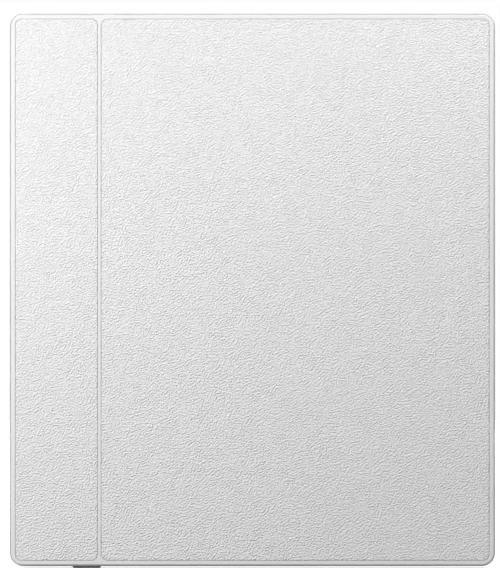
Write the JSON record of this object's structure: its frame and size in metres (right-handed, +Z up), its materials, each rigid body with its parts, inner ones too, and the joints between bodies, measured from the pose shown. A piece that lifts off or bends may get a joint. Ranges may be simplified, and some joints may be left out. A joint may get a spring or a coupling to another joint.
{
  "type": "e-reader",
  "caption": "Slim electronic-paper reader with an asymmetric side grip, page keys, a power button, a card tray and grained back inlays.",
  "frame": {"origin": "at the lowest point, under the middle of the device's box, with the reader upright in portrait", "axes": "+Z up the long side, +Y out of the back, so the screen faces -Y, and +X towards the grip with the page keys"},
  "size_m": [0.137, 0.0064, 0.1566],
  "materials": {
    "case_white": "satin moulded plastic",
    "inlay_grain": "fine leather-like moulded grain",
    "lens_white": "clear lens printed white on its back",
    "key_white": "fine satin",
    "dark_metal": "dark anodised",
    "tray_white": "satin moulded plastic",
    "frame_metal": "die-cast magnesium",
    "spacer_plastic": "moulded",
    "epaper": "matt electronic paper on thin glass",
    "light_guide": "clear light-guide film",
    "touch_film": "clear touch sensor film",
    "flex_film": "amber polyimide film",
    "black_plastic": "moulded",
    "stamped_steel": "stamped, nickel plated",
    "screw_steel": "machined",
    "circuit_board": "solder mask over fibreglass",
    "chip_package": "moulded epoxy",
    "battery_pouch": "laminated foil pouch",
    "wire_sleeve": "flexible sleeve",
    "magnet": "nickel-plated magnet",
    "sound_mesh": "woven acoustic mesh"
  },
  "bodies": {
    "casing": {"back_cover": "case_white", "grip_inlay": "inlay_grain", "main_inlay": "inlay_grain", "mid_frame": "frame_metal", "bezel_spacer": "spacer_plastic", "cover_lens": "lens_white", "epaper_panel": "epaper", "light_guide": "light_guide", "touch_film": "touch_film", "light_strip": "flex_film", "screen_flex": "flex_film", "screen_connector": "black_plastic", "upper_key_switch": "black_plastic", "lower_key_switch": "black_plastic", "power_switch": "black_plastic", "main_board": "circuit_board", "processor": "chip_package", "memory_chip": "chip_package", "wireless_chip": "chip_package", "power_chip": "chip_package", "motion_sensor": "chip_package", "lid_sensor": "chip_package", "microphone": "stamped_steel", "battery_connector": "black_plastic", "processor_shield": "stamped_steel", "wireless_shield": "stamped_steel", "usb_c_shell": "stamped_steel", "usb_c_tongue": "black_plastic", "card_socket": "stamped_steel", "loudspeaker": "black_plastic", "speaker_mesh": "sound_mesh", "battery_cell": "battery_pouch", "battery_board": "circuit_board", "battery_lead": "wire_sleeve", "antenna": "flex_film", "antenna_lead": "wire_sleeve", "lower_magnet": "magnet", "upper_magnet": "magnet", "frame_screw_1": "screw_steel", "frame_screw_2": "screw_steel", "frame_screw_3": "screw_steel", "frame_screw_4": "screw_steel", "frame_screw_5": "screw_steel", "frame_screw_6": "screw_steel", "frame_screw_7": "screw_steel", "frame_screw_8": "screw_steel", "board_screw_1": "screw_steel", "board_screw_2": "screw_steel", "board_screw_3": "screw_steel"},
    "power_button": {"power_button": "dark_metal"},
    "upper_page_key": {"upper_page_key": "key_white"},
    "lower_page_key": {"lower_page_key": "key_white"},
    "card_tray": {"card_tray": "tray_white"}
  },
  "joints": [
    {"name": "power_press", "type": "slide", "parent": "casing", "child": "power_button", "axis": [0, 0, 1], "range_m": [0, 0.0003], "stiffness_N_per_m": 6000},
    {"name": "upper_key_press", "type": "slide", "parent": "casing", "child": "upper_page_key", "axis": [0, 1, 0], "range_m": [0, 0.00035], "stiffness_N_per_m": 5000},
    {"name": "lower_key_press", "type": "slide", "parent": "casing", "child": "lower_page_key", "axis": [0, 1, 0], "range_m": [0, 0.00035], "stiffness_N_per_m": 5000},
    {"name": "tray_slide", "type": "slide", "parent": "casing", "child": "card_tray", "axis": [1, 0, 0], "range_m": [0, 0.0155]}
  ]
}
